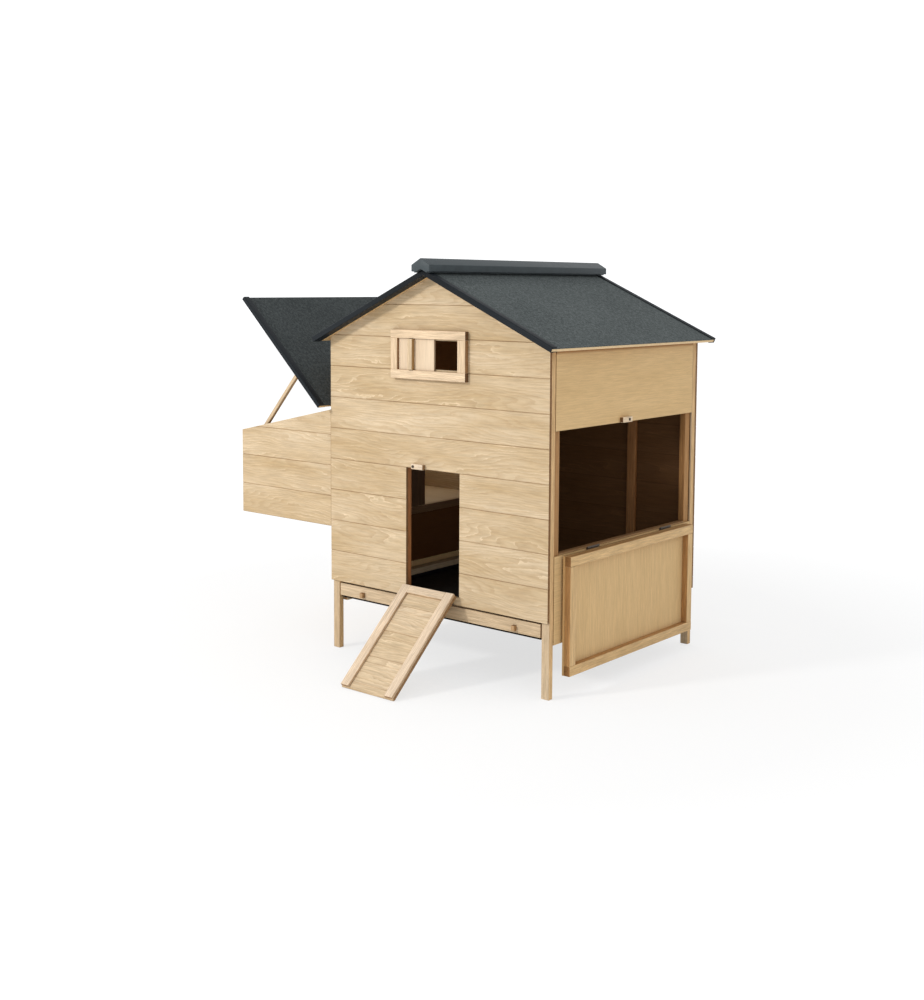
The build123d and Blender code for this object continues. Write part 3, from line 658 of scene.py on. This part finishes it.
def painted_shade_band(material, axis, unshaded_at, shade_full_at, tint):
    """Darkens a material along one edge, between the two given places on the axis: painted shade."""
    tree = material.node_tree
    shader = tree.nodes["Principled BSDF"]
    unshaded = shader.inputs["Base Color"].links[0].from_socket
    where = tree.nodes.new("ShaderNodeTexCoord")
    split = tree.nodes.new("ShaderNodeSeparateXYZ")
    tree.links.new(where.outputs["Object"], split.inputs[0])
    near_edge = tree.nodes.new("ShaderNodeMapRange")
    near_edge.inputs["From Min"].default_value = unshaded_at
    near_edge.inputs["From Max"].default_value = shade_full_at
    tree.links.new(split.outputs[axis], near_edge.inputs["Value"])
    edge_shade = tree.nodes.new("ShaderNodeMix")
    edge_shade.data_type = "RGBA"
    edge_shade.blend_type = "MULTIPLY"
    edge_shade.inputs["B"].default_value = (*tint, 1)
    tree.links.new(near_edge.outputs[0], edge_shade.inputs["Factor"])
    tree.links.new(unshaded, edge_shade.inputs["A"])
    tree.links.new(edge_shade.outputs["Result"], shader.inputs["Base Color"])


# painted shadow of the eaves: a darker line just under them, on both sides of the house
eaves_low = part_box("roof_deck_right")[0].z
EAVE_SHADE_FOOT, EAVE_SHADE_HEAD = 0.012, 0.005
for panel in (side_ply, nodes["left_panel_upper"].data.materials[0]):
    painted_shade_band(panel, "Z", eaves_low - EAVE_SHADE_FOOT, eaves_low - EAVE_SHADE_HEAD, (0.56, 0.42, 0.33))


# ---- Roof
# Plywood decks under mineral-faced roofing felt. Dark folded trims wrap the decks' ends at
# both gables, and a dark capping with a bevelled top runs along the ridge.
# the deck's edges are lightened, painted light, and its underside inside the room is darkened, painted shade
deck_ply = ply("deck_plywood", "X", "XY", 25.0, indoors=(0.05, 0.03, 0.02), ends=(1.25, 1.35, 1.6), sides=(1, 1, 1))
dress("roof_deck_left", deck_ply)
dress("roof_deck_right", deck_ply)


def felted(name, dark, light):
    """Roofing felt: bitumen with crushed slate pressed into its face."""
    material = bpy.data.materials.new(name)
    material.use_nodes = True
    tree = material.node_tree
    new, link = tree.nodes.new, tree.links.new
    shader = tree.nodes["Principled BSDF"]
    shader.inputs["Roughness"].default_value = 0.88
    shader.inputs["Specular IOR Level"].default_value = 0.35
    where = new("ShaderNodeTexCoord")
    specks = new("ShaderNodeTexNoise")
    specks.inputs["Scale"].default_value = 420.0
    specks.inputs["Detail"].default_value = 2.0
    link(where.outputs["Object"], specks.inputs["Vector"])
    clumps = new("ShaderNodeTexNoise")
    clumps.inputs["Scale"].default_value = 120.0
    clumps.inputs["Detail"].default_value = 3.0
    link(where.outputs["Object"], clumps.inputs["Vector"])
    weathered = new("ShaderNodeTexNoise")
    weathered.inputs["Scale"].default_value = 5.0
    weathered.inputs["Detail"].default_value = 3.0
    link(where.outputs["Object"], weathered.inputs["Vector"])
    mixed = new("ShaderNodeMath")
    mixed.operation = "MULTIPLY_ADD"
    mixed.inputs[1].default_value = 0.55
    link(specks.outputs["Fac"], mixed.inputs[0])
    half = new("ShaderNodeMath")
    half.operation = "MULTIPLY_ADD"
    half.inputs[1].default_value = 0.35
    link(clumps.outputs["Fac"], half.inputs[0])
    faint = new("ShaderNodeMath")
    faint.operation = "MULTIPLY"
    faint.inputs[1].default_value = 0.1
    link(weathered.outputs["Fac"], faint.inputs[0])
    link(faint.outputs[0], half.inputs[2])
    link(half.outputs[0], mixed.inputs[2])
    spread = new("ShaderNodeMapRange")
    spread.inputs["From Min"].default_value = 0.43
    spread.inputs["From Max"].default_value = 0.59
    link(mixed.outputs[0], spread.inputs["Value"])
    slate = new("ShaderNodeMix")
    slate.data_type = "RGBA"
    slate.inputs["A"].default_value = (*dark, 1)
    slate.inputs["B"].default_value = (*light, 1)
    link(spread.outputs[0], slate.inputs["Factor"])
    link(slate.outputs["Result"], shader.inputs["Base Color"])
    bump = new("ShaderNodeBump")
    bump.inputs["Strength"].default_value = 0.5
    bump.inputs["Distance"].default_value = 0.0015
    link(mixed.outputs[0], bump.inputs["Height"])
    link(bump.outputs[0], shader.inputs["Normal"])
    return material


roof_felt = felted("slate_felt", (0.032, 0.041, 0.041), (0.105, 0.121, 0.120))
dress("roof_felt_left", roof_felt)
dress("roof_felt_right", roof_felt)


def coated_metal(name, colour, rough=0.42):
    """Folded sheet with a dark factory coat, slightly uneven in its gloss."""
    material = bpy.data.materials.new(name)
    material.use_nodes = True
    tree = material.node_tree
    new, link = tree.nodes.new, tree.links.new
    shader = tree.nodes["Principled BSDF"]
    shader.inputs["Specular IOR Level"].default_value = 0.16
    where = new("ShaderNodeTexCoord")
    cloud = new("ShaderNodeTexNoise")
    cloud.inputs["Scale"].default_value = 38.0
    cloud.inputs["Detail"].default_value = 4.0
    link(where.outputs["Object"], cloud.inputs["Vector"])
    tint = new("ShaderNodeMix")
    tint.data_type = "RGBA"
    tint.inputs["A"].default_value = (*[c * 0.75 for c in colour], 1)
    tint.inputs["B"].default_value = (*[c * 1.3 for c in colour], 1)
    link(cloud.outputs["Fac"], tint.inputs["Factor"])
    link(tint.outputs["Result"], shader.inputs["Base Color"])
    gloss = new("ShaderNodeMapRange")
    gloss.inputs["To Min"].default_value = rough - 0.08
    gloss.inputs["To Max"].default_value = rough + 0.12
    link(cloud.outputs["Fac"], gloss.inputs["Value"])
    link(gloss.outputs[0], shader.inputs["Roughness"])
    return material


trim_coat = coated_metal("trim_coating", (0.007, 0.010, 0.013), 0.5)
eased("roof_trims", trim_coat, 0.0014, 3)

ridge_coat = coated_metal("ridge_coating", (0.050, 0.061, 0.066), 0.42)
eased("ridge_cap", ridge_coat, 0.002, 3)


# ---- Nest box
# Boards like the walls', standing out from the left wall on a plywood floor, with a divider
# between its two nests. Short cleats hold its corners.
nest_board = pine("nest_board_pine", PALE, HONEY, RING, along="X", face="XZ", seed=31.0, **BOARD_GRAIN)

# painted shade: a dark line where these boards meet the wall
wall_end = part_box("nest_front_boards")[1].x
JOINT_SHADE_EDGE, JOINT_SHADE_FULL = 0.0055, 0.003
painted_shade_band(nest_board, "X", wall_end - JOINT_SHADE_EDGE, wall_end - JOINT_SHADE_FULL, (0.5, 0.36, 0.25))
dress("nest_front_boards", nest_board)
dress("nest_back_boards", nest_board)

# the floor and divider are all inside; of the outer boards, only their inner face is. There the outer boards and
# divider are darkened, painted shade, and the floor is lightened, painted light
FAR = 9
ALL_INSIDE = (-FAR, FAR, -FAR, FAR, -FAR)
inner_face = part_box("nest_outer_boards")[1].x - 0.0005
dress("nest_outer_boards", pine("nest_end_pine", PALE, HONEY, RING, along="Y", face="YZ", seed=37.0,
                                indoors=(0.4, 0.3, 0.22), walls=(inner_face, *ALL_INSIDE[1:]), **BOARD_GRAIN))
dress("nest_floor", ply("nest_floor_plywood", "X", "XY", 41.0, indoors=(1.15, 1.35, 1.9), walls=ALL_INSIDE))
dress("nest_divider", ply("nest_divider_plywood", "X", "XZ", 43.0, indoors=(0.8, 0.75, 0.7), walls=ALL_INSIDE))
eased("nest_cleats", straight_pine("cleat_pine", "Z", "XZ", 45.0))


# ---- Nest lid and its prop
# A felted plywood lid with the same dark trims on its two ends, hinged along the house wall.
# A pine stick, screwed to a block underneath, props it open.
dress("lid_deck", ply("lid_plywood", "Y", "XY", 47.0, ends=(0.1, 0.1, 0.1), sides=(0.06, 0.07, 0.1)))
dress("lid_felt", felted("lid_slate_felt", (0.022, 0.028, 0.029), (0.068, 0.078, 0.078)))
eased("lid_trims", trim_coat, 0.0012, 3)
LID_OPEN, OFF_SQUARE = 43.5, 2.5     # degrees: the lid above level, the prop off square to it
prop_lean = math.radians(LID_OPEN - OFF_SQUARE)
prop_wood = straight_pine("prop_pine", "Z", "XZ", 49.0, turn=(0, -prop_lean, 0))
eased("prop_stick", prop_wood)
eased("prop_block", straight_pine("prop_block_pine", "Y", "XY", 51.0))


# ---- Ramp
# The hens' door, let down: four short boards laid across, under two stiles and a top rail of
# planed batten. It hangs on two butt hinges at the sill.
RAMP_DROP = 132.74       # degrees down from shut
ramp_slope = math.radians(RAMP_DROP)
LAID_DOWN = (-ramp_slope, 0, 0)
RAMP_COVER, RAMP_JOINT = 0.088, 0.0265
ramp_board_wood = pine("ramp_board_pine", (0.62, 0.49, 0.335), (0.52, 0.395, 0.245), (0.40, 0.27, 0.15),
                       along="X", face="XZ", board=RAMP_COVER, origin=RAMP_JOINT, arch=1.2, rings=0.4,
                       fibre=0.5, band=0.85, turn=LAID_DOWN, seed=53.0)
dress("ramp_boards", ramp_board_wood)
ramp_stile_wood = straight_pine("ramp_stile_pine", "Z", "XZ", 55.0, (0.70, 0.57, 0.43), (0.62, 0.485, 0.35),
                                turn=LAID_DOWN)
eased("ramp_stiles", ramp_stile_wood)
ramp_rail_wood = straight_pine("ramp_rail_pine", "X", "XZ", 57.0, (0.66, 0.53, 0.39), (0.58, 0.45, 0.31),
                               turn=LAID_DOWN)
eased("ramp_rail", ramp_rail_wood)


# ---- Side door
# A plywood panel with its grain upright, framed on the outside with planed battens. It hangs
# down from two butt hinges along the sill of the large opening.
dress("door_panel", ply("door_plywood", "Z", "YZ", 59.0, rings=0.3, band=0.4, ring=0.8))
# the door battens' edges and ends are darkened: painted shade, with darker end grain on the ends
GOLD = dict(pale=(0.70, 0.485, 0.245), warm=(0.57, 0.375, 0.175), ends=(0.42, 0.3, 0.2), sides=(0.68, 0.53, 0.4))
eased("door_rails", straight_pine("door_rail_pine", "Y", "YZ", 61.0, **GOLD))
eased("door_stiles", straight_pine("door_stile_pine", "Z", "YZ", 63.0, **GOLD))


# ---- Shutter window
# Two grooved rails and two stiles nailed to the wall under the gable. A thin plywood shutter
# with a batten for a handle slides between them.
FRAME = dict(pale=(0.69, 0.54, 0.375), warm=(0.59, 0.44, 0.285))
# the frame's edges and ends, and the handle's, are darkened: painted shade, with darker end grain on the ends
window_rail_wood = straight_pine("window_rail_pine", "X", "XZ", 65.0, ends=(0.22, 0.15, 0.1),
                                 sides=(0.55, 0.42, 0.32), **FRAME)
eased("window_rails", window_rail_wood)
window_stile_wood = straight_pine("window_stile_pine", "Z", "XZ", 67.0, sides=(0.5, 0.37, 0.26), **FRAME)
eased("window_stiles", window_stile_wood)
dress("window_shutter", pine("shutter_plywood", (0.66, 0.52, 0.37), (0.58, 0.44, 0.30), (0.46, 0.33, 0.2),
                             along="Z", face="XZ", arch=0.4, ring=0.6, rings=0.15, fibre=0.2, band=0.5,
                             seed=69.0))
handle_wood = straight_pine("handle_pine", "Z", "XZ", 71.0, ends=(0.3, 0.2, 0.12), sides=(0.62, 0.48, 0.3))
eased("shutter_handle", handle_wood)


# ---- Droppings tray
# A shallow pan of dark-coated steel with a pine front, which slides on runners under the
# room. Two small blocks serve as knobs.
dress("tray_pan", coated_metal("pan_coating", (0.012, 0.010, 0.009), 0.55))
eased("tray_front", straight_pine("tray_front_pine", "X", "XZ", 73.0))
eased("tray_knobs", straight_pine("knob_pine", "Z", "XZ", 75.0, (0.44, 0.28, 0.15), (0.34, 0.20, 0.09)))


# ---- Turn buttons
# Two small blocks of planed pine, which hold the ramp and the side door shut. Each turns on a
# round-headed screw driven into the wall above its opening.
# the buttons' end faces are darkened: darker end grain, deepened as painted shade
button_wood = straight_pine("button_pine", "X", "XZ", 77.0, (0.72, 0.60, 0.46), (0.64, 0.51, 0.37),
                            ends=(0.4, 0.29, 0.18))
eased("pop_button", button_wood)
side_button_wood = straight_pine("side_button_pine", "Y", "YZ", 79.0, (0.78, 0.63, 0.45), (0.68, 0.53, 0.36),
                                 ends=(0.22, 0.14, 0.08))
eased("side_button", side_button_wood)


# ---- Hinges and screws
# Zinc-plated steel butt hinges, 58 mm long, with two countersunk screws in each leaf, and
# round-headed screws that the buttons and the prop turn on.
def zinc(name, colour=(0.13, 0.115, 0.10), rough=0.45):
    material = bpy.data.materials.new(name)
    material.use_nodes = True
    tree = material.node_tree
    new, link = tree.nodes.new, tree.links.new
    shader = tree.nodes["Principled BSDF"]
    shader.inputs["Metallic"].default_value = 1.0
    where = new("ShaderNodeTexCoord")
    spangle = new("ShaderNodeTexVoronoi")
    spangle.inputs["Scale"].default_value = 380.0
    link(where.outputs["Object"], spangle.inputs["Vector"])
    tint = new("ShaderNodeMix")
    tint.data_type = "RGBA"
    tint.inputs["A"].default_value = (*[c * 0.8 for c in colour], 1)
    tint.inputs["B"].default_value = (*[c * 1.25 for c in colour], 1)
    link(spangle.outputs["Distance"], tint.inputs["Factor"])
    link(tint.outputs["Result"], shader.inputs["Base Color"])
    gloss = new("ShaderNodeMapRange")
    gloss.inputs["To Min"].default_value = rough - 0.08
    gloss.inputs["To Max"].default_value = rough + 0.1
    link(spangle.outputs["Distance"], gloss.inputs["Value"])
    link(gloss.outputs[0], shader.inputs["Roughness"])
    return material


hinge_zinc = zinc("hinge_zinc")
for leaf in ("ramp_hinge_bases", "ramp_hinge_leaves", "door_hinge_bases", "door_hinge_leaves",
             "lid_hinge_bases", "lid_hinge_leaves"):
    dress(leaf, hinge_zinc)
screw_zinc = zinc("screw_zinc", (0.07, 0.055, 0.045), 0.4)
dress("pivot_screws", screw_zinc)
dress("prop_screw", screw_zinc)

# one countersunk screw, 3.8 mm across the head, with a crossed slot cut into it
HEAD_R, HEAD_DEEP, TAPER = 0.0019, 0.0015, 0.6
RIM, DOME = 0.00025, 0.00012
SLOT_LONG, SLOT_WIDE = 0.0023, 0.00045
bpy.ops.object.select_all(action="DESELECT")
bpy.ops.mesh.primitive_cylinder_add(vertices=28, radius=HEAD_R, depth=HEAD_DEEP, location=(0, 0, -HEAD_DEEP / 2))
pattern_screw = bpy.context.object
pattern_screw.name = "screw_pattern"
bpy.ops.object.mode_set(mode="EDIT")
head_mesh = bmesh.from_edit_mesh(pattern_screw.data)
for face in head_mesh.faces:
    face.select = face.normal.z < -0.9
bmesh.update_edit_mesh(pattern_screw.data)
bpy.ops.transform.resize(value=(TAPER, TAPER, 1))
for face in head_mesh.faces:
    face.select = face.normal.z > 0.9
bmesh.update_edit_mesh(pattern_screw.data)
bpy.ops.mesh.inset(thickness=RIM)
bpy.ops.transform.translate(value=(0, 0, DOME))
bpy.ops.object.mode_set(mode="OBJECT")
bpy.ops.object.select_all(action="DESELECT")
bpy.ops.mesh.primitive_cube_add(size=1, location=(0, 0, 0))
slot_cutter = bpy.context.object
bpy.ops.object.mode_set(mode="EDIT")
bpy.ops.transform.resize(value=(SLOT_LONG, SLOT_WIDE, 0.0011))
bpy.ops.object.mode_set(mode="OBJECT")
bpy.ops.object.select_all(action="DESELECT")
bpy.ops.mesh.primitive_cube_add(size=1, location=(0, 0, 0))
other_cutter = bpy.context.object
bpy.ops.object.mode_set(mode="EDIT")
bpy.ops.transform.resize(value=(SLOT_WIDE, SLOT_LONG, 0.0012))
bpy.ops.object.mode_set(mode="OBJECT")
for cutter in (slot_cutter, other_cutter):
    bpy.ops.object.select_all(action="DESELECT")
    pattern_screw.select_set(True)
    bpy.context.view_layer.objects.active = pattern_screw
    cut = pattern_screw.modifiers.new("slot", "BOOLEAN")
    cut.operation = "DIFFERENCE"
    cut.solver = "EXACT"
    cut.object = cutter
    bpy.ops.object.modifier_apply(modifier=cut.name)
    bpy.data.objects.remove(cutter)
bright_screw = zinc("bright_screw_zinc", (0.42, 0.40, 0.36), 0.35)
pattern_screw.data.materials.clear()
pattern_screw.data.materials.append(bright_screw)


def drive_screw(name, place, way_out, body, turn=None, spin=0.0):
    """A copy of the screw, flush in its leaf: its head looks along way_out."""
    mesh = pattern_screw.data.copy()
    facing = Vector(way_out).to_track_quat("Z", "Y").to_matrix().to_4x4()
    put = Matrix.Translation(place) @ facing @ Matrix.Rotation(spin, 4, "Z")
    if turn is not None:
        put = turn @ put
    mesh.transform(put)
    piece = bpy.data.objects.new(name, mesh)
    bpy.context.scene.collection.objects.link(piece)
    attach(piece, body)


def about(point, angle, axis):
    return Matrix.Translation(point) @ Matrix.Rotation(angle, 4, axis) @ Matrix.Translation(-Vector(point))


pins = {joint["name"]: Vector(joint["pos_m"]) for joint in frame["joints"] if joint["type"] == "hinge"}
# a leaf's length, its screws below the pin, its thickness, and the pin off the wall
LEAF_LONG, SCREW_DROP, LEAF_THICK, WALL_OFF = 0.058, 0.016, 0.0015, 0.0035
ALONG = (-LEAF_LONG / 3, LEAF_LONG / 3)
MOST_SPIN = 1.5          # radians: no two slots stopped at the same angle
random.seed(11)

low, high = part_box("ramp_hinge_bases")
pin = pins["ramp_hinge"]
dropped = about(pin, ramp_slope, "X")
for side, middle in (("left", low.x + LEAF_LONG / 2), ("right", high.x - LEAF_LONG / 2)):
    for count, along in enumerate(ALONG):
        face_y = pin.y + WALL_OFF - LEAF_THICK
        drive_screw("ramp_base_screw_%s_%d" % (side, count), (middle + along, face_y, pin.z - SCREW_DROP),
                    (0, -1, 0), "house", None, random.uniform(0, MOST_SPIN))
        drive_screw("ramp_leaf_screw_%s_%d" % (side, count), (middle + along, face_y, pin.z + SCREW_DROP),
                    (0, -1, 0), "ramp", dropped, random.uniform(0, MOST_SPIN))

low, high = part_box("door_hinge_bases")
pin = pins["side_door_hinge"]
hung = about(pin, math.pi, "Y")
for side, middle in (("front", low.y + LEAF_LONG / 2), ("back", high.y - LEAF_LONG / 2)):
    for count, along in enumerate(ALONG):
        face_x = pin.x - WALL_OFF + LEAF_THICK
        drive_screw("door_base_screw_%s_%d" % (side, count), (face_x, middle + along, pin.z - SCREW_DROP),
                    (1, 0, 0), "house", None, random.uniform(0, MOST_SPIN))
        drive_screw("door_leaf_screw_%s_%d" % (side, count), (face_x, middle + along, pin.z + SCREW_DROP),
                    (1, 0, 0), "door", hung, random.uniform(0, MOST_SPIN))

low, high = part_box("lid_hinge_bases")
pin = pins["nest_lid_hinge"]
for side, middle in (("front", low.y + LEAF_LONG / 2), ("back", high.y - LEAF_LONG / 2)):
    for count, along in enumerate(ALONG):
        drive_screw("lid_base_screw_%s_%d" % (side, count), (high.x - LEAF_THICK, middle + along, pin.z - SCREW_DROP),
                    (-1, 0, 0), "house", None, random.uniform(0, MOST_SPIN))
bpy.data.objects.remove(pattern_screw)
